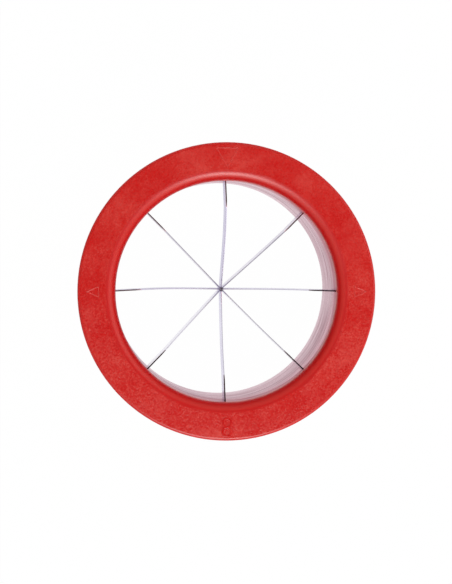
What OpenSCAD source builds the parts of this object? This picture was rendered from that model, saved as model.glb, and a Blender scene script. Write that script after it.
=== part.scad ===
// Blade cup of a fruit wedger. A moulded collar is pushed over a steel sleeve, and four crossed strips
// with ground edges hang by their tabs in the sleeve's slots, trapped there by the collar.
// The sleeve's foot stands on z = 0, its axis is +Z, and the first strip lies along X.

/* [Sleeve] */
// Inside diameter of the sleeve, the way that the fruit takes
bore_d = 92; // [84:1:104]
// Wall of the sleeve
sleeve_wall = 1; // [0.8:0.1:1.6]
// Height of the sleeve from its foot to its top edge
sleeve_h = 50; // [44:1:64]
// Broken edges at the sleeve's foot and top
edge_break = 0.2; // [0.1:0.05:0.3]

/* [Collar] */
// Width of the flange, from the sleeve's bore to its outer edge
flange_w = 15.5; // [13:0.5:22]
// Thickness of the flange
flange_t = 6; // [5:0.5:9]
// Rounding of the flange's upper edge
rim_r = 1.25; // [1:0.25:2.5]
// Rounding of the flange's lower edge
under_r = 1; // [0.5:0.25:1.5]
// Height of the lip, from the sleeve's top edge to the flange's face
lip_h = 7; // [6.5:0.5:10]
// How far the lip stands in over the sleeve's top edge, past the bore
lip_over = 0.2; // [0:0.1:0.5]
// Rounding of the mouth
mouth_r = 4.5; // [3:0.5:6]
// Wall of the hub around the sleeve, bond line included
hub_wall = 4.5; // [3.5:0.5:6]
// Height of the hub below the flange
hub_h = 15; // [12:1:20]
// Lead-in chamfer at the hub's foot
hub_chamfer = 1; // [0.5:0.25:1.5]
// Fillet between the hub and the flange
hub_fillet = 1; // [0.5:0.25:2]

/* [Blades] */
// Thickness of the strips
blade_t = 0.5; // [0.4:0.1:0.8]
// Height of the strips
blade_h = 14; // [11:1:17]
// Fall of the cutting edge from its shoulders to the middle
blade_drop = 22; // [12:1:26]
// Length of the blunt shoulder at each end
shoulder_l = 11; // [6:1:16]
// Depth of the shoulders below the sleeve's top edge
shoulder_depth = 4; // [2:0.5:6]
// Depth of the ground bevels, square to the cutting edge
grind_h = 1.25; // [1:0.25:3]
// Thickness left at the cutting edge
edge_t = 0.1; // [0.05:0.05:0.2]
// Height of the tabs
tab_h = 9; // [6:1:10]
// How far the tabs reach past the sleeve
tab_reach = 2; // [1:0.5:2.5]
// Lead-in chamfer on the tabs
tab_chamfer = 0.8; // [0.4:0.1:1]

/* [Fits] */
// Clearance on each side of a strip in a slot, groove or notch
blade_clear = 0.1; // [0.05:0.05:0.2]
// Clearance between the laps of two strips
lap_clear = 0.1; // [0.05:0.05:0.2]
// Clearance between a strip's ends and the sleeve's bore
end_clear = 0.2; // [0.1:0.05:0.4]
// Bond line between the hub and the sleeve
hub_clear = 0.05; // [0.02:0.01:0.15]

/* [Hidden] */
$fn = 96;
// Overrun of a cut past the face that it opens
over = 1;

strips = 4;
strip_angle = 180 / strips;

// Radii from the axis outwards
bore_r = bore_d / 2;
shoulder_r = bore_r - shoulder_l;
lip_r = bore_r - lip_over;
end_r = bore_r - end_clear;
sleeve_r = bore_r + sleeve_wall;
seat_r = sleeve_r + hub_clear;
tab_r = sleeve_r + tab_reach;
hub_r = sleeve_r + hub_wall;
flange_r = bore_r + flange_w;

// Heights from the foot
face_z = sleeve_h + lip_h;
under_z = face_z - flange_t;
hub_z = under_z - hub_h;
shoulder_z = sleeve_h - shoulder_depth;
tab_z = shoulder_z - tab_h;
valley_z = shoulder_z - blade_drop;

mouth_fillet = min(mouth_r, lip_h - edge_break);
slot_w = blade_t + 2 * blade_clear;
// Wide enough for the neighbour that crosses at the sharpest angle
notch_w = blade_t * (1 / sin(strip_angle) + 1 / tan(strip_angle)) + 2 * blade_clear;
lap_h = blade_h / strips;
slope = atan(blade_drop / shoulder_r);

// What a rounding takes off a corner that points to +X and +Y, with the arc's centre at the origin
module rounding(r) {
  difference() {
    square(r + over);
    circle(r);
  }
}

// What a chamfer takes off a square corner at the origin
module chamfer(size) {
  rotate(45)
    square(size * sqrt(2), center = true);
}

// What a fillet adds in a corner at the origin that opens to +X and -Y
module fillet(r) {
  difference() {
    translate([-over, -r])
      square(r + over);
    translate([r, -r])
      circle(r);
  }
}

// A copy at each end of each strip
module each_end() {
  for (i = [0 : 2 * strips - 1])
    rotate([0, 0, i * strip_angle])
      children();
}

// Half section of the collar, with the cup's axis as Y
module collar_section() {
  difference() {
    union() {
      translate([lip_r, under_z])
        square([flange_r - lip_r, flange_t]);
      translate([lip_r, hub_z])
        square([hub_r - lip_r, hub_h]);
      translate([hub_r, under_z])
        fillet(hub_fillet);
    }
    translate([lip_r - over, hub_z - over])
      square([seat_r - lip_r + over, sleeve_h - hub_z + over]);
    translate([flange_r - rim_r, face_z - rim_r])
      rounding(rim_r);
    translate([flange_r - under_r, under_z + under_r])
      mirror([0, 1])
        rounding(under_r);
    translate([lip_r + mouth_fillet, face_z - mouth_fillet])
      mirror([1, 0])
        rounding(mouth_fillet);
    translate([hub_r, hub_z])
      chamfer(hub_chamfer);
  }
}

// Grooves in the hub run up from its foot and end on top of the tabs
module collar() {
  groove_h = shoulder_z + blade_clear - hub_z;
  color("firebrick")
    difference() {
      rotate_extrude()
        collar_section();
      each_end()
        translate([sleeve_r, -slot_w / 2, hub_z - over])
          cube([tab_reach + blade_clear, slot_w, groove_h + over]);
    }
}

// Half section of the sleeve's wall, with the cup's axis as Y
module sleeve_section() {
  difference() {
    translate([bore_r, 0])
      square([sleeve_wall, sleeve_h]);
    for (r = [bore_r, sleeve_r])
      for (z = [0, sleeve_h])
        translate([r, z])
          chamfer(edge_break);
  }
}

// Slots are open at the top edge, and the tabs stand on their ends
module sleeve() {
  color("silver")
    difference() {
      rotate_extrude()
        sleeve_section();
      each_end()
        translate([bore_r - over, -slot_w / 2, tab_z])
          cube([sleeve_wall + 2 * over, slot_w, sleeve_h - tab_z + over]);
    }
}

// Outline of a strip, with X across the cup and Y up
module strip_outline() {
  right = [
    [0, valley_z],
    [shoulder_r, shoulder_z],
    [tab_r - tab_chamfer, shoulder_z],
    [tab_r, shoulder_z - tab_chamfer],
    [tab_r, tab_z],
    [end_r, tab_z],
    [end_r, shoulder_z - blade_h],
    [shoulder_r, shoulder_z - blade_h],
    [0, valley_z - blade_h]
  ];
  left = [for (i = [len(right) - 2 : -1 : 1]) [-right[i].x, right[i].y]];
  polygon(concat(right, left));
}

// What the wheel takes off one face of the right half. Past the shoulder the cut runs out by itself,
// so the blunt top of the shoulder tapers to the cutting edge.
module grind() {
  depth = grind_h * (2 * blade_t - edge_t) / (blade_t - edge_t);
  run = 2 * tab_r;
  intersection() {
    translate([0, 0, valley_z - blade_h])
      cube([tab_r, blade_t, blade_h + blade_drop + over]);
    translate([0, 0, valley_z])
      rotate([0, -slope, 0])
        rotate([90, 0, 90])
          translate([0, 0, -blade_h])
            linear_extrude(run + blade_h)
              polygon([[edge_t / 2, 0], [blade_t, -depth], [blade_t, over], [edge_t / 2, over]]);
  }
}

// Notches of one strip at the crossing. Each strip keeps a lap at its own level: the laps of the strips
// that lie higher pass above it, and those of the strips that lie lower pass below.
module lap_notches(level) {
  foot_z = valley_z - blade_h;
  lap_top = valley_z - level * lap_h - lap_clear;
  lap_foot = valley_z - (level + 1) * lap_h;
  if (level > 0)
    translate([-notch_w / 2, -blade_t, lap_top])
      cube([notch_w, 2 * blade_t, shoulder_z - lap_top]);
  if (level < strips - 1)
    translate([-notch_w / 2, -blade_t, foot_z - over])
      cube([notch_w, 2 * blade_t, lap_foot - foot_z + over]);
}

// One strip of the crossed set, level 0 with its lap on top
module blade(level) {
  color("gainsboro")
    rotate([0, 0, level * strip_angle])
      difference() {
        rotate([90, 0, 0])
          linear_extrude(blade_t, center = true)
            strip_outline();
        for (end = [0, 1])
          for (face = [0, 1])
            mirror([end, 0, 0])
              mirror([0, face, 0])
                grind();
        lap_notches(level);
      }
}

collar();
sleeve();
blade(0);  // blade_1
blade(1);  // blade_2
blade(2);  // blade_3
blade(3);  // blade_4
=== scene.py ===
import math

import bmesh
import bpy
from mathutils import Matrix, Vector


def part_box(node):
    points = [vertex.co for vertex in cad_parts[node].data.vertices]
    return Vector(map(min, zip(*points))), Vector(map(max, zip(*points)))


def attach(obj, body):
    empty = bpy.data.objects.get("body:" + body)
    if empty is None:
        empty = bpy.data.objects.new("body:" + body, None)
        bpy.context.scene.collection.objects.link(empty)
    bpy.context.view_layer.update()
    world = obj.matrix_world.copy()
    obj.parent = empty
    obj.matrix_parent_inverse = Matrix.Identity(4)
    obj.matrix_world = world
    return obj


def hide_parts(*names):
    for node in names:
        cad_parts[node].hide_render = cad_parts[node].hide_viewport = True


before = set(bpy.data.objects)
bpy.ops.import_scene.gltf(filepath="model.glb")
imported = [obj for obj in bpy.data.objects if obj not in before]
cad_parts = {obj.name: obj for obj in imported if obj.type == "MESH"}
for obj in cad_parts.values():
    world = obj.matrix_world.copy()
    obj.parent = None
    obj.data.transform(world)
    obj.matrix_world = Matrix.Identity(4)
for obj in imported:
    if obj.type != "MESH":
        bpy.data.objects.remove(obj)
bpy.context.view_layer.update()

bl_info = {
    "name": "Wedger Blade Cup",
    "version": (1, 0, 0),
    "blender": (4, 5, 0),
    "location": "3D View > Sidebar > Wedger",
    "description": "Finishes, raised marks and studio for the blade cup of a fruit wedger",
    "category": "Object",
}

# The frame is in metres, and small sizes are written in millimetres
MM = 0.001
BODY = "root"

# Places that the finishes share with the solids
FACE_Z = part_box("collar")[1].z
SLEEVE_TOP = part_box("sleeve")[1].z
SHOULDER_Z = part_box("blade_1")[1].z
BLADES = [name for name in sorted(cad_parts) if name.startswith("blade_")]

# Points closer than this are one point
MERGE = 0.001 * MM
# Faces of a strip that meet at less than this are one flat face
FLAT_ANGLE = math.radians(0.2)
# Faces of a strip that meet at more than this have a sharp edge
SHARP_ANGLE = math.radians(5.0)
# Faces of an arrow that meet at more than this have a rounded edge
RIM_ANGLE = math.radians(30.0)

# Long side of the photograph in pixels, and of the camera's sensor in millimetres
IMAGE_LONG = 584
SENSOR = 36.0
# Nearest and farthest distance that the camera shows
CLIP_NEAR = 0.05
CLIP_FAR = 50.0

# Towards the bright side of the tent
BRIGHT_SIDE = (0.35, -0.94, 0.0)
# Towards the key lamp, where the pits on the collar's face get their strongest painted sheen and shade
GLINT_SIDE = (0.0, -1.0, 0.0)
# A painted shade that darkens nothing
UNSHADED = (1.0, 1.0, 1.0)

# How level a face is, 1 for quite level, where one finish of the plastic turns into the next. From lip to
# body to deep the roundings are painted by slope: painted shade at the steep lip, a painted sheen in the
# middle, painted shade again where they meet the flat face
FLAT_FACE = (0.985, 0.9995)
LIP_TO_BODY = (0.60, 0.88)
BODY_TO_DEEP = (0.92, 0.99)
# Between top and slope the arrows' edges turn to a painted highlight
TOP_TO_SLOPE = (0.998, 0.93)

# Parts of a noise's range that are stretched to full contrast
LAY_RANGE = (0.30, 0.70)
SMUDGE_RANGE = (0.35, 0.68)
SCUFF_RANGE = (0.60, 0.74)
GROOVE_RANGE = (0.35, 0.65)
# Middle of a noise's range
NOISE_MEAN = 0.5
# Output, fineness against the stated pitch, and octaves of the two noises in a brushing lay
LAY_NOISES = (("Coarse", 0.35, 2.0), ("Fine", 1.0, 3.0))
# How much of the finer octaves is mixed in
LAY_MIX = 0.6
# Octaves and swirl of the smudges
SMUDGE_DETAIL = 3.0
SMUDGE_SWIRL = 0.6
# How much finer scuffs are than smudges, their octaves, and how much of the finer ones is mixed in
SCUFF_FINER = 7.0
SCUFF_DETAIL = 4.0
SCUFF_MIX = 0.75
# Swirl of the clouds in the plastic
CLOUD_SWIRL = 0.5

# Steps of the arrows' rounded edges, of the numeral's rounded edges and of its curves
RIM_STEPS = 3
EDGE_STEPS = 2
CURVE_STEPS = 10
# Sides of the round floor
FLOOR_SIDES = 64

# Parts of a ray's direction over which the tent's cloth changes, sideways and upwards
TENT_SIDES = (-0.9, 0.9)
TENT_OPENING = (0.80, 0.94)
TENT_HEM = (0.02, 0.10)


def length(name, description, default):
    """A size property in metres."""
    return bpy.props.FloatProperty(
        name=name, description=description, default=default, min=0.0, precision=5, unit="LENGTH"
    )


def offsets(name, description, default):
    """A property with two offsets in metres, either way."""
    return bpy.props.FloatVectorProperty(
        name=name, description=description, default=default, size=2, precision=5, unit="LENGTH"
    )


def angle(name, description, degrees):
    """An angle property, written in degrees."""
    return bpy.props.FloatProperty(
        name=name, description=description, default=math.radians(degrees), subtype="ANGLE"
    )


def share(name, description, default):
    """A property between 0 and 1."""
    return bpy.props.FloatProperty(
        name=name, description=description, default=default, min=0.0, max=1.0, subtype="FACTOR"
    )


def amount(name, description, default):
    """A property for a plain number that isn't negative."""
    return bpy.props.FloatProperty(name=name, description=description, default=default, min=0.0)


def power(name, description, default):
    """A property for the power of a lamp."""
    return bpy.props.FloatProperty(
        name=name, description=description, default=default, min=0.0, unit="POWER"
    )


def colour(name, description, default):
    """A linear colour property."""
    return bpy.props.FloatVectorProperty(
        name=name, description=description, default=default, size=3, min=0.0, max=1.0, subtype="COLOR"
    )


class CollarFinish(bpy.types.PropertyGroup):
    """Moulded plastic of the collar and its raised marks"""

    # Roundings painted by slope: the lip colour is a painted shade on the steepest part, body a painted
    # sheen in the middle, deep a painted shade next to the flat face and also the flat face's deep clouds
    body: colour("Body colour", "Colour of the polished roundings", (0.625, 0.024, 0.018))
    lip_shade: colour("Lip colour", "Colour of the steepest roundings", (0.57, 0.002, 0.001))
    deep: colour("Deep colour", "Colour of the deep clouds on the flat faces", (0.575, 0.002, 0.001))
    # The pale colour is partly the plastic's random cloudy tone and partly, where the pits push it, a
    # painted sheen on the crowns of the relief
    pale: colour("Pale colour", "Colour of the pale clouds on the flat faces", (0.690, 0.054, 0.040))
    # A painted highlight: the paler red on the slopes of the arrows
    slope_highlight: colour("Worn colour", "Colour of the worn slopes of the arrows", (0.720, 0.070, 0.056))
    polish: share("Polish", "Roughness of the polished roundings", 0.34)
    mark_polish: share("Mark polish", "Roughness of the polished tops of the marks", 0.19)
    worn_roughness: share("Worn roughness", "Roughness of the slopes of the marks", 0.48)
    roughness: share("Roughness", "Mean roughness of the eroded flat faces", 0.26)
    spread: share("Spread", "How far the mottle changes the roughness either way", 0.02)
    smudge: share("Smudge", "Roughness that smudges add", 0.04)
    scuff: share("Scuff", "Roughness that scuffs add", 0.03)
    smudge_size: length("Smudge size", "Width of the smudges on the collar", 14.0 * MM)
    mark_smudge: length("Mark smudge", "Width of the smudges on the marks", 3.0 * MM)
    cloud_size: length("Cloud size", "Width of the clouds in the colour", 17.0 * MM)
    patch_size: length("Patch size", "Width of the patches inside the clouds", 3.0 * MM)
    cloud_detail: amount("Cloud detail", "Octaves of the clouds and the patches", 2.0)
    cloud_mix: share("Cloud mix", "How much of the clouds' finer octaves is mixed in", 0.55)
    grain_size: length("Grain size", "Width of the pits that the eroded mould leaves", 0.8 * MM)
    grain_detail: amount("Grain detail", "Octaves of the pits", 1.3)
    grain_mix: share("Grain mix", "How much of the finer pits is mixed in", 0.5)
    grain_depth: length("Grain depth", "Depth of the pits that the eroded mould leaves", 0.11 * MM)
    seed: amount("Seed", "Which clouds the plastic has", 23.0)
    curve: amount("Curve", "How far the pale colour keeps to the strongest part of the clouds", 1.4)
    mottle: share("Mottle", "Mean share of the pale colour on the flat faces", 0.45)
    # Painted sheen: distance either side of the axis over which the pits' colour grows stronger towards the
    # key lamp
    glint_span: length("Worn span", "Distance either side of the axis where wear sets in", 30.0 * MM)
    cloud_weight: amount("Cloud weight", "How strongly the clouds show", 1.5)
    patch_weight: amount("Patch weight", "How strongly the patches show", 0.75)
    # Painted sheen and shade: how strongly the pits' colour shows away from the key lamp and next to it
    glint_far: amount("Calm grain", "How strongly the pits show where the face is calm", 0.95)
    glint_near: amount("Worn grain", "How strongly the pits show where the face is worn", 1.9)
    specular: share("Specular", "Strength of the reflection", 0.27)
    bleed: length("Bleed", "Distance that light travels inside the plastic", 0.8 * MM)
    bleed_weight: share("Bleed weight", "Share of the light that travels inside the plastic", 0.2)
    bleed_tint: colour("Bleed tint", "How far each colour of light travels inside", (1.0, 0.1, 0.08))


class SleeveFinish(bpy.types.PropertyGroup):
    """Brushed stainless tube, with a painted reflection of the red collar on its inside"""

    plain: colour("Plain steel", "Colour of the bright marks outside the tube", (0.66, 0.65, 0.65))
    plain_dull: share("Plain dull", "Brightness of the dull marks outside against the bright ones", 0.72)
    # Inside the tube the colours are a painted reflection: pink from the collar, redder towards the top,
    # lighter towards the foot
    steel: colour("Steel", "Colour of the bright brushing marks inside the tube", (0.90, 0.86, 0.88))
    shade: colour("Shade", "Colour of the dull brushing marks inside the tube", (0.34, 0.16, 0.20))
    dull_collar_reflection: colour("Blush", "Colour of the dull marks where the collar reddens them", (0.40, 0.05, 0.07))
    flush: colour("Flush", "Colour of the bright marks near the collar", (0.70, 0.46, 0.50))
    collar_reflection_from: share("Flush from", "Height where the collar's red sets in, 1 for the top", 0.55)
    # The pink glance tint is a painted reflection of the collar too
    glance: colour("Glance", "Tint of the steel at a glancing view", (0.80, 0.61, 0.66))
    # Painted reflection: the marks fade to the bright colour towards the foot
    foot_reflection: share("Calm", "How far the marks fade to the bright colour at the foot", 0.5)
    foot_reflection_top: share("Calm top", "Height up to which the marks fade, 1 for the top", 0.5)
    roughness: share("Roughness", "Mean roughness of the brushed face", 0.30)
    spread: share("Spread", "How far the marks change the roughness either way", 0.06)
    smudge: share("Smudge", "Roughness that smudges add", 0.05)
    smudge_size: length("Smudge size", "Width of the smudges", 16.0 * MM)
    stretch: share("Stretch", "How far the brushing stretches highlights", 0.6)
    stretch_turn: share("Stretch turn", "Direction of the stretch, 1 for a full turn", 0.25)
    lay_length: length("Lay length", "Length of the brushing marks round the tube", 40.0 * MM)
    lay_pitch: length("Lay pitch", "Height of the brushing marks inside the tube", 2.5 * MM)
    outer_pitch: length("Outer pitch", "Height of the brushing marks outside the tube", 0.5 * MM)
    lay_depth: length("Lay depth", "Depth of the brushing marks inside the tube", 0.01 * MM)
    outer_depth: share("Outer depth", "Depth of the marks outside against those inside", 0.2)


class BladeFinish(bpy.types.PropertyGroup):
    """Rolled strip steel with ground edges, and how the strips are bent. The diagonal and the straight
    strips get lit and shaded copies of one steel, with painted light in their tints
    """

    # Painted light: the diagonal strips' copy of the steel, with whiter faces, darker bevels and a whiter
    # glance
    rolled: colour("Rolled steel", "Colour of the strips that shine whitest", (0.90, 0.89, 0.93))
    ground: colour("Ground steel", "Colour of the white strips' bevels", (0.53, 0.50, 0.57))
    glance: colour("Glance", "Tint of the white strips at a glancing view", (0.96, 0.95, 0.99))
    # Painted shade: what is left of the white strips' colour on the far side from the bright side of the
    # tent
    far_shade: colour("Film", "What the film on the white strips' far side lets through", (0.78, 0.74, 0.80))
    # Painted light: the straight strips' copy of the same steel, with duller faces and paler bevels
    rolled_straight: colour("Bluish steel", "Colour of the strips with a bluish shine", (0.78, 0.78, 0.84))
    ground_straight: colour("Bluish ground steel", "Colour of the bluish strips' bevels", (0.82, 0.80, 0.87))
    glance_straight: colour("Bluish glance", "Tint of the bluish strips at a glancing view", (0.86, 0.83, 0.93))
    # Painted shade on the far side, for the other strips and for all bevels, and the distance over which it
    # sets in
    far_shade_straight: colour("Bluish film", "What the film on the bluish strips lets through", (0.68, 0.66, 0.77))
    far_shade_ground: colour("Film on bevels", "What the film on all bevels lets through", (0.50, 0.46, 0.54))
    far_shade_span: length("Film span", "Distance either side of the axis where the film sets in", 14.0 * MM)
    # Painted reflections on the shoulders: reddish from the collar on the far side, dark from the opening
    # overhead on the near side
    blunt: colour("Blunt steel", "Colour of the shoulders on the far side", (0.60, 0.27, 0.30))
    blunt_near_dark_reflection: colour("Blunt steel, near", "Colour of the other shoulders", (0.16, 0.05, 0.07))
    notch: colour("Notch steel", "Colour of the sheared notches", (0.56, 0.53, 0.60))
    rolled_dull: share("Rolled dull", "Brightness of the dull rolling marks against the bright", 0.92)
    ground_dull: share("Ground dull", "Brightness of the dull grooves against the bright", 0.8)
    roughness: share("Roughness", "Mean roughness of the rolled faces", 0.20)
    spread: share("Spread", "How far the rolling marks change the roughness either way", 0.04)
    smudge: share("Smudge", "Roughness that smudges add", 0.05)
    smudge_size: length("Smudge size", "Width of the smudges", 9.0 * MM)
    ground_polish: share("Ground polish", "Roughness that grinding takes away", 0.04)
    blunt_roughness: share("Blunt roughness", "Roughness of the blunt shoulders", 0.22)
    notch_roughness: share("Notch roughness", "Roughness of the sheared notches", 0.60)
    notch_r: length("Notch radius", "Distance from the axis to which the notches reach", 0.9 * MM)
    shoulder_r: length("Shoulder radius", "Distance from the axis where the shoulders end", 35.0 * MM)
    fall: length("Fall", "Fall of the cutting edge from the shoulders to the middle", 22.0 * MM)
    grind_h: length("Grind height", "Depth of the ground bevels, square to the edge", 1.25 * MM)
    soft: length("Soft edge", "Half the distance over which one finish turns into the next", 0.1 * MM)
    wheel_pitch: length("Wheel pitch", "Width of the grooves that the wheel leaves", 0.4 * MM)
    lay_length: length("Lay length", "Length of the rolling marks along the strip", 9.0 * MM)
    lay_pitch: length("Lay pitch", "Height of the rolling marks across the strip", 0.4 * MM)
    lay_depth: length("Lay depth", "Depth of the rolling marks", 0.001 * MM)
    push: offsets("Push", "How far the crossing sits off the axis in X and Y", (-0.20 * MM, 0.24 * MM))
    push_fade: amount("Push fade", "How long a strip keeps the push on its way outwards", 3.0)
    bow_1: offsets("Bow of strip 1", "Bow of its right and left half", (0.25 * MM, 0.56 * MM))
    bow_2: offsets("Bow of strip 2", "Bow of its upper and lower half", (-0.30 * MM, 0.0))
    bow_3: offsets("Bow of strip 3", "Bow of its upper and lower half", (-0.72 * MM, 0.40 * MM))
    bow_4: offsets("Bow of strip 4", "Bow of its upper and lower half", (0.0, 0.30 * MM))
    bow_skew: amount("Bow skew", "How far the bows lie outwards, 1 for half way", 1.2)
    bow_end: length("Bow end", "Distance from the axis where the strips are held straight", 46.0 * MM)
    bow_step: length("Bow step", "Distance between the bends of a bowed strip", 2.0 * MM)


class MarkSizes(bpy.types.PropertyGroup):
    """Raised marks on the collar's face"""

    rise: length("Rise", "Height of the marks above the face", 0.14 * MM)
    root: length("Root", "Depth to which the marks reach into the collar", 0.5 * MM)
    ridge: length("Ridge", "Width of the ridges of the arrows", 0.44 * MM)
    rounding: length("Rounding", "Rounding of the arrows' upper edges", 0.20 * MM)
    top_base: length("Top arrow base", "Distance of the top arrow's base from the axis", 59.3 * MM)
    top_tip: length("Top arrow tip", "Distance of the top arrow's tip from the axis", 51.0 * MM)
    top_half: length("Top arrow half base", "Half the width of the top arrow", 4.85 * MM)
    side_base: length("Side arrow base", "Distance of the side arrows' bases from the axis", 52.6 * MM)
    side_tip: length("Side arrow tip", "Distance of the side arrows' tips from the axis", 58.1 * MM)
    side_half: length("Side arrow half base", "Half the width of the side arrows", 2.45 * MM)
    numeral_r: length("Numeral radius", "Distance of the numeral's middle from the axis", 55.9 * MM)
    numeral_h: length("Numeral height", "Height of the numeral", 8.2 * MM)
    numeral_w: length("Numeral width", "Width of the numeral", 4.6 * MM)
    numeral_edge: length("Numeral edge", "Rounding of the numeral's edges", 0.14 * MM)
    numeral_thin: length("Numeral thinning", "How far the strokes are drawn in on each side", 0.19 * MM)


class Studio(bpy.types.PropertyGroup):
    """Floor, lamps and camera"""

    focal_px: amount("Focal length", "Focal length in the photograph's pixels", 2031.0)
    distance: length("Distance", "Distance of the camera from the collar's face", 835.0 * MM)
    tilt_x: angle("Tilt about X", "Tilt of the camera about X", 1.60)
    tilt_y: angle("Tilt about Y", "Tilt of the camera about Y", 4.03)
    slide_x: length("Slide along X", "Slide of the camera to its left", 0.52 * MM)
    slide_y: length("Slide along Y", "Slide of the camera downwards", 0.10 * MM)
    floor_r: length("Floor radius", "Radius of the floor", 12.0)
    floor: colour("Floor", "Colour of the floor", (0.95, 0.95, 0.95))
    floor_glow: share("Floor glow", "Share of plain white in what the floor shows", 0.99)
    tent_bright: amount("Tent, near side", "Light of the tent on its bright side", 0.90)
    tent_dim: amount("Tent, far side", "Light of the tent on its dim side", 0.18)
    opening: amount("Opening", "Light in the opening overhead, where the camera stands", 0.04)
    key: power("Key", "Power of the key lamp", 2.3)
    gloss: power("Gloss", "Power that the key lamp adds to highlights alone", 7.2)
    fill: power("Fill", "Power of the fill lamp on the right", 1.6)
    lift: power("Lift", "Power of the polarised lamp at the back, which leaves no highlight", 2.5)
    top: power("Top", "Power of the polarised lamp overhead, which leaves no highlight", 5.2)


SETTINGS = {
    "wedger_collar": CollarFinish,
    "wedger_sleeve": SleeveFinish,
    "wedger_blades": BladeFinish,
    "wedger_marks": MarkSizes,
    "wedger_studio": Studio,
}


def add(tree, kind, inputs=None, **settings):
    """Adds a node. Each input, by its name or index, gets a socket to link or a value to set."""
    made = tree.nodes.new(kind)
    for key, value in settings.items():
        setattr(made, key, value)
    for key, value in (inputs or {}).items():
        if isinstance(value, bpy.types.NodeSocket):
            tree.links.new(value, made.inputs[key])
        else:
            made.inputs[key].default_value = value
    return made


def math_node(tree, operation, first, second=0.0, third=0.0, clamp=False):
    """The result of a Math node."""
    inputs = {0: first, 1: second, 2: third}
    return add(tree, "ShaderNodeMath", inputs, operation=operation, use_clamp=clamp).outputs[0]


def vector_node(tree, operation, first, second=(0.0, 0.0, 0.0)):
    """A Vector Math node."""
    return add(tree, "ShaderNodeVectorMath", {0: first, 1: second}, operation=operation)


def dot(tree, first, second):
    """How far one vector goes along another."""
    return vector_node(tree, "DOT_PRODUCT", first, second).outputs["Value"]


def axes(tree, vector):
    """The three parts of a vector."""
    return add(tree, "ShaderNodeSeparateXYZ", {0: vector}).outputs


def ramp(tree, value, low, high, to_low=0.0, to_high=1.0):
    """A value mapped smoothly from one range to another."""
    made = add(
        tree,
        "ShaderNodeMapRange",
        {"Value": value, "From Min": low, "From Max": high, "To Min": to_low, "To Max": to_high},
        interpolation_type="SMOOTHSTEP",
    )
    return made.outputs["Result"]


def blend(tree, factor, first, second):
    """A mix of two colours."""
    made = add(tree, "ShaderNodeMix", {"Factor": factor}, data_type="RGBA")
    for key, value in ((6, first), (7, second)):
        if isinstance(value, bpy.types.NodeSocket):
            tree.links.new(value, made.inputs[key])
        else:
            made.inputs[key].default_value = (*value, 1.0)
    return made.outputs[2]


def blend_value(tree, factor, first, second):
    """A mix of two numbers."""
    return add(tree, "ShaderNodeMix", {0: factor, 2: first, 3: second}, data_type="FLOAT").outputs[0]


def dimmed(tone, factor):
    """A darker colour."""
    return tuple(factor * part for part in tone)


def new_group(name, inputs, outputs):
    """An empty shader group with float or vector inputs and float outputs."""
    tree = bpy.data.node_groups.new(name, "ShaderNodeTree")
    for label, kind, default in inputs:
        socket = tree.interface.new_socket(label, in_out="INPUT", socket_type=kind)
        if kind == "NodeSocketFloat":
            socket.default_value = default
    for label in outputs:
        tree.interface.new_socket(label, in_out="OUTPUT", socket_type="NodeSocketFloat")
    return tree, tree.nodes.new("NodeGroupInput"), tree.nodes.new("NodeGroupOutput")


def brushing_group():
    """Marks of a lay that runs level round the axis or along a strip."""
    name = "Level brushing"
    if name in bpy.data.node_groups:
        return bpy.data.node_groups[name]
    tree, source, sink = new_group(
        name,
        [
            ("Vector", "NodeSocketVector", None),
            ("Lay length", "NodeSocketFloat", 10.0 * MM),
            ("Lay pitch", "NodeSocketFloat", 0.5 * MM),
        ],
        ["Coarse", "Fine"],
    )
    along = math_node(tree, "DIVIDE", 1.0, source.outputs["Lay length"])
    across = math_node(tree, "DIVIDE", 1.0, source.outputs["Lay pitch"])
    for label, finer, detail in LAY_NOISES:
        pitch = math_node(tree, "MULTIPLY", across, finer)
        stretch = add(tree, "ShaderNodeCombineXYZ", {0: along, 1: along, 2: pitch}).outputs[0]
        place = vector_node(tree, "MULTIPLY", source.outputs["Vector"], stretch).outputs["Vector"]
        noise = add(
            tree,
            "ShaderNodeTexNoise",
            {"Vector": place, "Scale": 1.0, "Detail": detail, "Roughness": LAY_MIX},
        )
        tree.links.new(ramp(tree, noise.outputs["Fac"], *LAY_RANGE), sink.inputs[label])
    return tree


def smudge_group():
    """Wide soft clouds of handling and fine scuffs that change how a surface shines."""
    name = "Handling"
    if name in bpy.data.node_groups:
        return bpy.data.node_groups[name]
    tree, source, sink = new_group(
        name,
        [("Vector", "NodeSocketVector", None), ("Size", "NodeSocketFloat", 12.0 * MM)],
        ["Smudge", "Scuff"],
    )
    scale = math_node(tree, "DIVIDE", 1.0, source.outputs["Size"])
    clouds = add(
        tree,
        "ShaderNodeTexNoise",
        {
            "Vector": source.outputs["Vector"],
            "Scale": scale,
            "Detail": SMUDGE_DETAIL,
            "Distortion": SMUDGE_SWIRL,
        },
    )
    tree.links.new(ramp(tree, clouds.outputs["Fac"], *SMUDGE_RANGE), sink.inputs["Smudge"])
    scuffs = add(
        tree,
        "ShaderNodeTexNoise",
        {
            "Vector": source.outputs["Vector"],
            "Scale": math_node(tree, "MULTIPLY", scale, SCUFF_FINER),
            "Detail": SCUFF_DETAIL,
            "Roughness": SCUFF_MIX,
        },
    )
    tree.links.new(ramp(tree, scuffs.outputs["Fac"], *SCUFF_RANGE), sink.inputs["Scuff"])
    return tree


def placed(tree, group, **inputs):
    """A shader group in a material, with its own values."""
    made = tree.nodes.new("ShaderNodeGroup")
    made.node_tree = group
    for key, value in inputs.items():
        label = key.replace("_", " ")
        if isinstance(value, bpy.types.NodeSocket):
            tree.links.new(value, made.inputs[label])
        else:
            made.inputs[label].default_value = value
    return made


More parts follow.
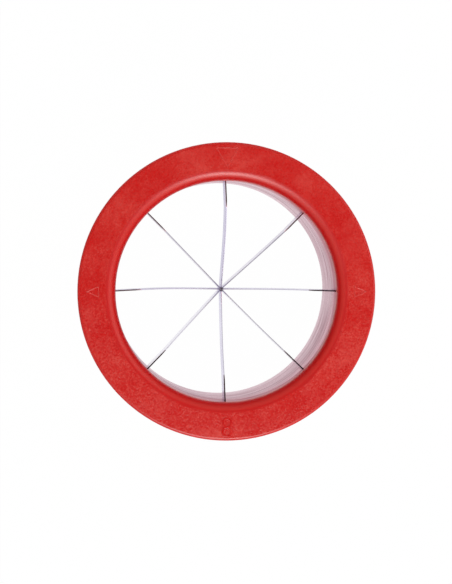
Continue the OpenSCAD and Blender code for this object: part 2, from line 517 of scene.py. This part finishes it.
def new_material(name):
    """A material with an empty Principled shader, and its Object coordinates."""
    material = bpy.data.materials.new(name)
    material.use_nodes = True
    tree = material.node_tree
    tree.nodes.clear()
    shader = tree.nodes.new("ShaderNodeBsdfPrincipled")
    sink = tree.nodes.new("ShaderNodeOutputMaterial")
    tree.links.new(shader.outputs["BSDF"], sink.inputs["Surface"])
    place = tree.nodes.new("ShaderNodeTexCoord").outputs["Object"]
    return material, tree, shader, place


def set_bump(tree, shader, depth, height):
    """Gives a shader a relief of this depth."""
    bump = add(tree, "ShaderNodeBump", {"Strength": 1.0, "Distance": depth, "Height": height})
    tree.links.new(bump.outputs["Normal"], shader.inputs["Normal"])


def cloud_field(tree, place, size, detail, mix, seed):
    """A noise of this width about zero, with finer octaves mixed in."""
    noise = add(
        tree,
        "ShaderNodeTexNoise",
        {
            "Vector": place,
            "W": seed,
            "Scale": 1.0 / size,
            "Detail": detail,
            "Roughness": mix,
            "Distortion": CLOUD_SWIRL,
        },
        noise_dimensions="4D",
    )
    return math_node(tree, "SUBTRACT", noise.outputs["Fac"], NOISE_MEAN)


def levelness(tree):
    """How far a face looks straight up or down, from 0 to 1."""
    normal = tree.nodes.new("ShaderNodeNewGeometry").outputs["Normal"]
    return math_node(tree, "ABSOLUTE", axes(tree, normal)[2])


def plastic_body(shader):
    """Sets what the plastic is like below its surface."""
    finish = bpy.context.scene.wedger_collar
    shader.inputs["Specular IOR Level"].default_value = finish.specular
    shader.inputs["Subsurface Weight"].default_value = finish.bleed_weight
    shader.inputs["Subsurface Radius"].default_value = finish.bleed_tint
    shader.inputs["Subsurface Scale"].default_value = finish.bleed


def red_plastic():
    """Moulded plastic: polished roundings, and flat faces with the fine pits of an eroded mould."""
    finish = bpy.context.scene.wedger_collar
    material, tree, shader, place = new_material("Collar plastic")
    level = levelness(tree)
    flat = ramp(tree, level, *FLAT_FACE)
    clouds = cloud_field(
        tree, place, finish.cloud_size, finish.cloud_detail, finish.cloud_mix, finish.seed
    )
    patches = cloud_field(
        tree, place, finish.patch_size, finish.cloud_detail, finish.cloud_mix, finish.seed
    )
    pits = cloud_field(
        tree, place, finish.grain_size, finish.grain_detail, finish.grain_mix, finish.seed
    )
    # Painted sheen and shade on the pits, stronger on the side towards the key lamp
    lamp_side = ramp(tree, dot(tree, place, GLINT_SIDE), -finish.glint_span, finish.glint_span)
    glint_weight = blend_value(tree, lamp_side, finish.glint_far, finish.glint_near)
    mottle = math_node(tree, "MULTIPLY_ADD", clouds, finish.cloud_weight, finish.mottle)
    mottle = math_node(tree, "MULTIPLY_ADD", patches, finish.patch_weight, mottle)
    # The pits push the colour pale on the crowns of the relief and deep in its hollows: partly the
    # plastic's grain, partly a painted sheen and painted shade
    mottle = math_node(tree, "MULTIPLY_ADD", pits, glint_weight, mottle, clamp=True)
    tone = blend(tree, math_node(tree, "POWER", mottle, finish.curve), finish.deep, finish.pale)
    # Painted shading by slope on the roundings: painted shade at the steep lip, a painted sheen in the
    # middle, painted shade where they turn into the flat face
    bend = blend(tree, ramp(tree, level, *LIP_TO_BODY), finish.lip_shade, finish.body)
    bend = blend(tree, ramp(tree, level, *BODY_TO_DEEP), bend, finish.deep)
    tree.links.new(blend(tree, flat, bend, tone), shader.inputs["Base Color"])
    smooth, rough = finish.roughness - finish.spread, finish.roughness + finish.spread
    shine = blend_value(tree, flat, finish.polish, ramp(tree, mottle, 0.0, 1.0, smooth, rough))
    handling = placed(tree, smudge_group(), Vector=place, Size=finish.smudge_size)
    shine = math_node(tree, "MULTIPLY_ADD", handling.outputs["Smudge"], finish.smudge, shine)
    shine = math_node(tree, "MULTIPLY_ADD", handling.outputs["Scuff"], finish.scuff, shine)
    tree.links.new(shine, shader.inputs["Roughness"])
    set_bump(tree, shader, finish.grain_depth, math_node(tree, "MULTIPLY", pits, flat))
    plastic_body(shader)
    return material


def mark_plastic(name, slopes):
    """The same plastic on a raised mark: a polished top, and slopes of the colour given, which on the
    arrows is a paler red, a painted highlight along their edges.
    """
    if name in bpy.data.materials:
        return bpy.data.materials[name]
    finish = bpy.context.scene.wedger_collar
    material, tree, shader, place = new_material(name)
    slope = ramp(tree, levelness(tree), *TOP_TO_SLOPE)
    handling = placed(tree, smudge_group(), Vector=place, Size=finish.mark_smudge)
    crest = blend(tree, handling.outputs["Smudge"], finish.deep, finish.body)
    # The slopes take the given colour, which on the arrows is a painted highlight
    tree.links.new(blend(tree, slope, crest, slopes), shader.inputs["Base Color"])
    shine = ramp(tree, handling.outputs["Scuff"], 0.0, 1.0, finish.mark_polish, finish.polish)
    shine = blend_value(tree, slope, shine, finish.worn_roughness)
    tree.links.new(shine, shader.inputs["Roughness"])
    plastic_body(shader)
    return material


def sleeve_steel():
    """Stainless tube, brushed round its axis, with a painted reflection of the red collar on its inside."""
    finish = bpy.context.scene.wedger_sleeve
    material, tree, shader, place = new_material("Sleeve steel")
    lay = placed(
        tree, brushing_group(), Vector=place, Lay_length=finish.lay_length, Lay_pitch=finish.lay_pitch
    )
    outer_lay = placed(
        tree, brushing_group(), Vector=place, Lay_length=finish.lay_length, Lay_pitch=finish.outer_pitch
    )
    fine = outer_lay.outputs["Fine"]
    streak = blend_value(tree, 0.5, lay.outputs["Coarse"], lay.outputs["Fine"])
    height = axes(tree, place)[2]
    # Painted reflection: lighter towards the foot and redder towards the collar
    upper = ramp(tree, height, 0.0, finish.foot_reflection_top * SLEEVE_TOP)
    foot_reflection = math_node(tree, "MULTIPLY_ADD", streak, 1.0 - finish.foot_reflection, finish.foot_reflection)
    streak = blend_value(tree, upper, foot_reflection, streak)
    near_collar = ramp(tree, height, finish.collar_reflection_from * SLEEVE_TOP, SLEEVE_TOP)
    dull = blend(tree, near_collar, finish.shade, finish.dull_collar_reflection)
    bright = blend(tree, near_collar, finish.steel, finish.flush)
    inner = blend(tree, streak, dull, bright)
    outer = blend(tree, fine, dimmed(finish.plain, finish.plain_dull), finish.plain)
    normal = tree.nodes.new("ShaderNodeNewGeometry").outputs["Normal"]
    half_r = 0.5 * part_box("sleeve")[1].x
    outside = math_node(tree, "GREATER_THAN", dot(tree, normal, place), half_r)
    tree.links.new(blend(tree, outside, inner, outer), shader.inputs["Base Color"])
    shader.inputs["Metallic"].default_value = 1.0
    # Pink glance tint: a painted reflection of the collar
    shader.inputs["Specular Tint"].default_value = (*finish.glance, 1.0)
    shader.inputs["Anisotropic"].default_value = finish.stretch
    shader.inputs["Anisotropic Rotation"].default_value = finish.stretch_turn
    marks = blend_value(tree, outside, streak, fine)
    rough, smooth = finish.roughness + finish.spread, finish.roughness - finish.spread
    shine = ramp(tree, marks, 0.0, 1.0, rough, smooth)
    handling = placed(tree, smudge_group(), Vector=place, Size=finish.smudge_size)
    shine = math_node(tree, "MULTIPLY_ADD", handling.outputs["Smudge"], finish.smudge, shine)
    tree.links.new(shine, shader.inputs["Roughness"])
    outer_relief = math_node(tree, "MULTIPLY", fine, finish.outer_depth)
    relief = blend_value(tree, outside, lay.outputs["Fine"], outer_relief)
    set_bump(tree, shader, finish.lay_depth, relief)
    return material


def far_shaded(tree, tone, bright_side_share, far_shade):
    """A colour darkened by a painted shade, except on the bright side."""
    return vector_node(tree, "MULTIPLY", tone, blend(tree, bright_side_share, far_shade, UNSHADED)).outputs["Vector"]


def blade_steel(name, face, edge, glance, far_shade):
    """Rolled strip with bevels ground square to the cutting edge."""
    finish = bpy.context.scene.wedger_blades
    material, tree, shader, place = new_material(name)
    x, y, z = axes(tree, place)
    level = add(tree, "ShaderNodeCombineXYZ", {0: x, 1: y, 2: 0.0}).outputs[0]
    reach = vector_node(tree, "LENGTH", level).outputs["Value"]
    # Depth below the cutting edge, square to it
    slope = finish.fall / finish.shoulder_r
    inside = math_node(tree, "MAXIMUM", math_node(tree, "SUBTRACT", finish.shoulder_r, reach), 0.0)
    edge_z = math_node(tree, "SUBTRACT", SHOULDER_Z, math_node(tree, "MULTIPLY", inside, slope))
    below = math_node(tree, "SUBTRACT", edge_z, z)
    depth = math_node(tree, "MULTIPLY", below, math.cos(math.atan(slope)))
    # Which part of the strip this is
    soft = finish.soft
    bevel = ramp(tree, depth, finish.grind_h + soft, finish.grind_h - soft)
    outer = ramp(tree, reach, finish.shoulder_r - soft, finish.shoulder_r + soft)
    blunt = math_node(tree, "MULTIPLY", bevel, outer)
    notch = ramp(tree, reach, finish.notch_r + soft, finish.notch_r - soft)
    # Painted shade on the strips' far side, away from the bright side of the tent
    bright_side_share = ramp(tree, dot(tree, place, BRIGHT_SIDE), -finish.far_shade_span, finish.far_shade_span)
    # Colour, with a painted shade on the far side and a painted reflection on the shoulders
    lay = placed(
        tree, brushing_group(), Vector=place, Lay_length=finish.lay_length, Lay_pitch=finish.lay_pitch
    )
    rolled = blend(tree, lay.outputs["Coarse"], dimmed(face, finish.rolled_dull), face)
    turned = add(tree, "ShaderNodeCombineXYZ", {0: reach, 1: 0.0, 2: 0.0}).outputs[0]
    wheel = add(tree, "ShaderNodeTexNoise", {"Vector": turned, "Scale": 1.0 / finish.wheel_pitch})
    grooves = ramp(tree, wheel.outputs["Fac"], *GROOVE_RANGE)
    ground = blend(tree, grooves, dimmed(edge, finish.ground_dull), edge)
    rolled = far_shaded(tree, rolled, bright_side_share, far_shade)
    ground = far_shaded(tree, ground, bright_side_share, finish.far_shade_ground)
    # Painted reflection on the shoulders, reddish on the far side and dark on the near side
    shoulder_reflection = blend(tree, bright_side_share, finish.blunt, finish.blunt_near_dark_reflection)
    tone = blend(tree, blunt, blend(tree, bevel, rolled, ground), shoulder_reflection)
    tone = blend(tree, notch, tone, finish.notch)
    tree.links.new(tone, shader.inputs["Base Color"])
    shader.inputs["Metallic"].default_value = 1.0
    shader.inputs["Specular Tint"].default_value = (*glance, 1.0)
    # Shine and relief
    rough, smooth = finish.roughness + finish.spread, finish.roughness - finish.spread
    shine = ramp(tree, lay.outputs["Fine"], 0.0, 1.0, rough, smooth)
    handling = placed(tree, smudge_group(), Vector=place, Size=finish.smudge_size)
    shine = math_node(tree, "MULTIPLY_ADD", handling.outputs["Smudge"], finish.smudge, shine)
    shine = math_node(tree, "MULTIPLY_ADD", bevel, -finish.ground_polish, shine)
    shine = blend_value(tree, blunt, shine, finish.blunt_roughness)
    shine = blend_value(tree, notch, shine, finish.notch_roughness)
    tree.links.new(shine, shader.inputs["Roughness"])
    set_bump(tree, shader, finish.lay_depth, blend_value(tree, bevel, lay.outputs["Fine"], grooves))
    return material


def dress(node, material):
    """Puts a material on every slot of a CAD node."""
    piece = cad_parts[node]
    if not piece.material_slots:
        piece.data.materials.append(material)
    for place in piece.material_slots:
        place.material = material


def finished(name, shape, material):
    """Makes an object of a bmesh, with one material, and lets it ride on the cup."""
    mesh = bpy.data.meshes.new(name)
    bmesh.ops.remove_doubles(shape, verts=shape.verts, dist=MERGE)
    bmesh.ops.recalc_face_normals(shape, faces=shape.faces)
    shape.to_mesh(mesh)
    shape.free()
    mesh.materials.append(material)
    piece = bpy.data.objects.new(name, mesh)
    bpy.context.scene.collection.objects.link(piece)
    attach(piece, BODY)
    return piece


def bowed_strip(node, name, heading, bows, material):
    """Replaces a strip by a copy with its halves bowed to the left of its heading and its middle pushed."""
    finish = bpy.context.scene.wedger_blades
    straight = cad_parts[node]
    shape = bmesh.new()
    shape.from_mesh(straight.data)
    bmesh.ops.transform(shape, matrix=straight.matrix_world, verts=shape.verts)
    bmesh.ops.remove_doubles(shape, verts=shape.verts, dist=MERGE)
    bmesh.ops.dissolve_limit(shape, angle_limit=FLAT_ANGLE, verts=shape.verts, edges=shape.edges)
    along = Vector((math.cos(heading), math.sin(heading), 0.0))
    across = Vector((-along.y, along.x, 0.0))
    bends = round(finish.bow_end / finish.bow_step)
    for bend in range(-bends, bends + 1):
        bmesh.ops.bisect_plane(
            shape,
            geom=shape.verts[:] + shape.edges[:] + shape.faces[:],
            dist=MERGE,
            plane_co=along * bend * finish.bow_step,
            plane_no=along,
        )
    push = Vector((*finish.push, 0.0))
    for vert in shape.verts:
        reach = vert.co.dot(along)
        part = min(abs(reach) / finish.bow_end, 1.0)
        bow = bows[0] if reach > 0.0 else bows[1]
        vert.co += across * bow * math.sin(math.pi * part ** finish.bow_skew)
        vert.co += push * (1.0 - part ** finish.push_fade)
    for face in shape.faces:
        face.smooth = True
    for edge in shape.edges:
        edge.smooth = edge.calc_face_angle(math.pi) < SHARP_ANGLE
    piece = finished(name, shape, material)
    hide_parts(node)


def ridge_arrow(name, base, tip, half, heading):
    """A raised outline of a triangle on the collar's face, its base and tip this far from the axis."""
    marks = bpy.context.scene.wedger_marks
    shape = bmesh.new()
    # Drawn in millimetres, because the operators lose sizes as small as these in metres
    corners = ((base, -half), (base, half), (tip, 0.0))
    face = shape.faces.new([shape.verts.new((x / MM, y / MM, 0.0)) for x, y in corners])
    face.normal_update()
    bmesh.ops.inset_region(
        shape, faces=[face], thickness=marks.ridge / MM, use_boundary=True, use_even_offset=True
    )
    bmesh.ops.delete(shape, geom=[face], context="FACES")
    ring = shape.faces[:] + shape.edges[:] + shape.verts[:]
    grown = bmesh.ops.extrude_face_region(shape, geom=ring, use_keep_orig=True)["geom"]
    crest = [item for item in grown if isinstance(item, bmesh.types.BMVert)]
    bmesh.ops.translate(shape, verts=crest, vec=(0.0, 0.0, (marks.root + marks.rise) / MM))
    bmesh.ops.recalc_face_normals(shape, faces=shape.faces)
    rim = [
        edge
        for edge in shape.edges
        if all(vert in crest for vert in edge.verts) and edge.calc_face_angle(0.0) > RIM_ANGLE
    ]
    bmesh.ops.bevel(
        shape,
        geom=rim,
        offset=marks.rounding / MM,
        segments=RIM_STEPS,
        profile=0.5,
        affect="EDGES",
        material=-1,
    )
    bmesh.ops.rotate(shape, verts=shape.verts, matrix=Matrix.Rotation(heading, 3, "Z"))
    bmesh.ops.scale(shape, verts=shape.verts, vec=(MM, MM, MM))
    bmesh.ops.translate(shape, verts=shape.verts, vec=(0.0, 0.0, FACE_Z - marks.root))
    # The arrows' slopes get a paler red, a painted highlight along their edges
    plastic = mark_plastic("Arrow plastic", bpy.context.scene.wedger_collar.slope_highlight)
    finished(name, shape, plastic)


class WEDGER_OT_collar(bpy.types.Operator):
    """Gives the collar its moulded plastic"""

    bl_idname = "wedger.collar"
    bl_label = "Collar"

    def execute(self, context):
        dress("collar", red_plastic())
        return {"FINISHED"}


class WEDGER_OT_sleeve(bpy.types.Operator):
    """Gives the sleeve its brushed steel"""

    bl_idname = "wedger.sleeve"
    bl_label = "Sleeve"

    def execute(self, context):
        dress("sleeve", sleeve_steel())
        return {"FINISHED"}


class WEDGER_OT_blades(bpy.types.Operator):
    """Bends the crossed strips and gives them their rolled and ground steel"""

    bl_idname = "wedger.blades"
    bl_label = "Blades"

    def execute(self, context):
        finish = context.scene.wedger_blades
        # Lit and shaded copies of one steel, for the diagonal and the straight strips: their tints are
        # painted light
        white = blade_steel("Blade steel", finish.rolled, finish.ground, finish.glance, finish.far_shade)
        straight_steel = blade_steel(
            "Bluish blade steel",
            finish.rolled_straight,
            finish.ground_straight,
            finish.glance_straight,
            finish.far_shade_straight,
        )
        rows = [
            (straight_steel, finish.bow_1),
            (white, finish.bow_2),
            (straight_steel, finish.bow_3),
            (white, finish.bow_4),
        ]
        for level, (steel, bows) in enumerate(rows):
            heading = level * math.pi / len(rows)
            bowed_strip(BLADES[level], f"strip_{level + 1}", heading, bows, steel)
        return {"FINISHED"}


class WEDGER_OT_arrows(bpy.types.Operator):
    """Raises the three arrows on the collar's face"""

    bl_idname = "wedger.arrows"
    bl_label = "Arrows"

    def execute(self, context):
        marks = context.scene.wedger_marks
        ridge_arrow("arrow_top", marks.top_base, marks.top_tip, marks.top_half, math.radians(90.0))
        ridge_arrow("arrow_right", marks.side_base, marks.side_tip, marks.side_half, 0.0)
        ridge_arrow("arrow_left", marks.side_base, marks.side_tip, marks.side_half, math.radians(180.0))
        return {"FINISHED"}


class WEDGER_OT_numeral(bpy.types.Operator):
    """Raises the number of wedges on the collar's face"""

    bl_idname = "wedger.numeral"
    bl_label = "Numeral"

    def execute(self, context):
        marks = context.scene.wedger_marks
        words = bpy.data.curves.new("numeral", "FONT")
        words.body = str(2 * len(BLADES))
        words.size = marks.numeral_h / MM
        words.extrude = (0.5 * (marks.root + marks.rise) - marks.numeral_edge) / MM
        words.bevel_depth = marks.numeral_edge / MM
        words.bevel_resolution = EDGE_STEPS
        words.offset = -marks.numeral_thin / MM
        words.resolution_u = CURVE_STEPS
        carrier = bpy.data.objects.new("numeral_outline", words)
        context.scene.collection.objects.link(carrier)
        context.view_layer.update()
        drawn = carrier.evaluated_get(context.evaluated_depsgraph_get())
        mesh = bpy.data.meshes.new_from_object(drawn)
        bpy.data.objects.remove(carrier)
        shape = bmesh.new()
        shape.from_mesh(mesh)
        bpy.data.meshes.remove(mesh)
        low = Vector(min(vert.co[i] for vert in shape.verts) for i in range(3))
        high = Vector(max(vert.co[i] for vert in shape.verts) for i in range(3))
        bmesh.ops.translate(shape, verts=shape.verts, vec=-(low + high) / 2)
        squeeze = Vector((marks.numeral_w / (high.x - low.x), marks.numeral_h / (high.y - low.y), MM))
        bmesh.ops.scale(shape, verts=shape.verts, vec=squeeze)
        middle_z = FACE_Z + 0.5 * (marks.rise - marks.root)
        bmesh.ops.translate(shape, verts=shape.verts, vec=(0.0, -marks.numeral_r, middle_z))
        plastic = mark_plastic("Numeral plastic", context.scene.wedger_collar.deep)
        finished("numeral", shape, plastic)
        return {"FINISHED"}


def set_floor():
    """A white floor under the cup, which keeps the cup's shadow."""
    studio = bpy.context.scene.wedger_studio
    shape = bmesh.new()
    bmesh.ops.create_circle(shape, cap_ends=True, segments=FLOOR_SIDES, radius=studio.floor_r)
    mesh = bpy.data.meshes.new("floor")
    shape.to_mesh(mesh)
    shape.free()
    floor = bpy.data.objects.new("floor", mesh)
    bpy.context.scene.collection.objects.link(floor)
    material = bpy.data.materials.new("Floor")
    material.use_nodes = True
    tree = material.node_tree
    tree.nodes.clear()
    paper = add(tree, "ShaderNodeBsdfDiffuse", {"Color": (*studio.floor, 1.0)})
    white = add(tree, "ShaderNodeEmission", {"Strength": 1.0})
    rays = tree.nodes.new("ShaderNodeLightPath").outputs
    seen = math_node(tree, "MAXIMUM", rays["Is Camera Ray"], rays["Is Glossy Ray"])
    seen = math_node(tree, "MAXIMUM", seen, rays["Is Transmission Ray"])
    glow = math_node(tree, "MULTIPLY", seen, studio.floor_glow)
    front = add(tree, "ShaderNodeMixShader", {0: glow, 1: paper.outputs[0], 2: white.outputs[0]})
    below = tree.nodes.new("ShaderNodeNewGeometry").outputs["Backfacing"]
    clear = tree.nodes.new("ShaderNodeBsdfTransparent").outputs[0]
    both = add(tree, "ShaderNodeMixShader", {0: below, 1: front.outputs[0], 2: clear})
    sink = tree.nodes.new("ShaderNodeOutputMaterial")
    tree.links.new(both.outputs[0], sink.inputs["Surface"])
    mesh.materials.append(material)


def set_room():
    """A tent of white cloth, brighter towards the key lamp, with a dark opening overhead for the camera."""
    studio = bpy.context.scene.wedger_studio
    world = bpy.data.worlds.new("Tent")
    bpy.context.scene.world = world
    world.use_nodes = True
    tree = world.node_tree
    tree.nodes.clear()
    ray = tree.nodes.new("ShaderNodeTexCoord").outputs["Generated"]
    rise = axes(tree, ray)[2]
    side = dot(tree, ray, BRIGHT_SIDE)
    cloth = ramp(tree, side, *TENT_SIDES, studio.tent_dim, studio.tent_bright)
    cloth = blend_value(tree, ramp(tree, rise, *TENT_OPENING), cloth, studio.opening)
    cloth = blend_value(tree, ramp(tree, rise, *TENT_HEM), 1.0, cloth)
    glow = add(tree, "ShaderNodeBackground", {"Strength": cloth})
    sink = tree.nodes.new("ShaderNodeOutputWorld")
    tree.links.new(glow.outputs[0], sink.inputs["Surface"])


def set_lamps():
    """A soft key lamp below the picture, a weaker one on the right, and two that only lift the shade."""
    studio = bpy.context.scene.wedger_studio
    target = Vector((0.0, 0.0, FACE_Z))
    # Name, power, place from the collar's face, width, height, and whether it lights and whether it shines
    rows = [
        ("key_lamp", studio.key, (0.03, -0.63, 0.49), 0.72, 0.42, True, True),
        ("gloss_lamp", studio.gloss, (0.03, -0.51, 0.61), 0.34, 0.42, False, True),
        ("fill_lamp", studio.fill, (0.62, 0.20, 0.46), 0.72, 0.42, True, True),
        ("lift_lamp", studio.lift, (-0.15, 0.85, 0.35), 1.20, 0.60, True, False),
        ("top_lamp", studio.top, (0.0, 0.05, 1.20), 1.20, 1.20, True, False),
    ]
    for name, watts, offset, width, height, diffuse, glossy in rows:
        data = bpy.data.lights.new(name, "AREA")
        data.shape = "RECTANGLE"
        data.size = width
        data.size_y = height
        data.energy = watts
        lamp = bpy.data.objects.new(name, data)
        lamp.location = target + Vector(offset)
        lamp.rotation_mode = "QUATERNION"
        lamp.rotation_quaternion = (-Vector(offset)).to_track_quat("-Z", "Y")
        lamp.visible_camera = False
        lamp.visible_diffuse = diffuse
        lamp.visible_glossy = glossy
        bpy.context.scene.collection.objects.link(lamp)


def set_camera():
    """The photograph's camera, above the cup and a little to the left of its axis."""
    studio = bpy.context.scene.wedger_studio
    data = bpy.data.cameras.new("camera")
    data.sensor_width = SENSOR
    data.sensor_fit = "AUTO"
    data.lens = studio.focal_px * SENSOR / IMAGE_LONG
    data.clip_start = CLIP_NEAR
    data.clip_end = CLIP_FAR
    camera = bpy.data.objects.new("camera", data)
    turn = Matrix.Rotation(-studio.tilt_x, 4, "X") @ Matrix.Rotation(-studio.tilt_y, 4, "Y")
    eye = turn @ Vector((-studio.slide_x, -studio.slide_y, studio.distance))
    camera.matrix_world = Matrix.Translation(eye + Vector((0.0, 0.0, FACE_Z))) @ turn
    bpy.context.scene.collection.objects.link(camera)
    bpy.context.scene.camera = camera


class WEDGER_OT_studio(bpy.types.Operator):
    """Sets up the floor, the lamps and the camera"""

    bl_idname = "wedger.studio"
    bl_label = "Studio"

    def execute(self, context):
        set_floor()
        set_room()
        set_lamps()
        set_camera()
        context.scene.view_settings.view_transform = "Standard"
        return {"FINISHED"}


OPERATORS = [
    WEDGER_OT_studio,
    WEDGER_OT_collar,
    WEDGER_OT_sleeve,
    WEDGER_OT_blades,
    WEDGER_OT_arrows,
    WEDGER_OT_numeral,
]


class WEDGER_PT_panel(bpy.types.Panel):
    """Lists the steps of the blade cup and their values"""

    bl_idname = "WEDGER_PT_panel"
    bl_label = "Wedger Blade Cup"
    bl_space_type = "VIEW_3D"
    bl_region_type = "UI"
    bl_category = "Wedger"

    def draw(self, context):
        for step in OPERATORS:
            self.layout.operator(step.bl_idname)
        for label in SETTINGS:
            settings = getattr(context.scene, label)
            box = self.layout.box()
            for key in settings.__annotations__:
                box.prop(settings, key)


CLASSES = [*SETTINGS.values(), *OPERATORS, WEDGER_PT_panel]


def register():
    """Registers the classes, and gives the scene its settings."""
    for item in CLASSES:
        bpy.utils.register_class(item)
    for label, group in SETTINGS.items():
        setattr(bpy.types.Scene, label, bpy.props.PointerProperty(type=group))


def unregister():
    """Takes away what register added."""
    for label in SETTINGS:
        delattr(bpy.types.Scene, label)
    for item in reversed(CLASSES):
        bpy.utils.unregister_class(item)


def main():
    """Builds the pieces and the studio."""
    register()
    bpy.ops.wedger.studio()
    bpy.ops.wedger.collar()
    bpy.ops.wedger.sleeve()
    bpy.ops.wedger.blades()
    bpy.ops.wedger.arrows()
    bpy.ops.wedger.numeral()


if __name__ == "__main__":
    main()
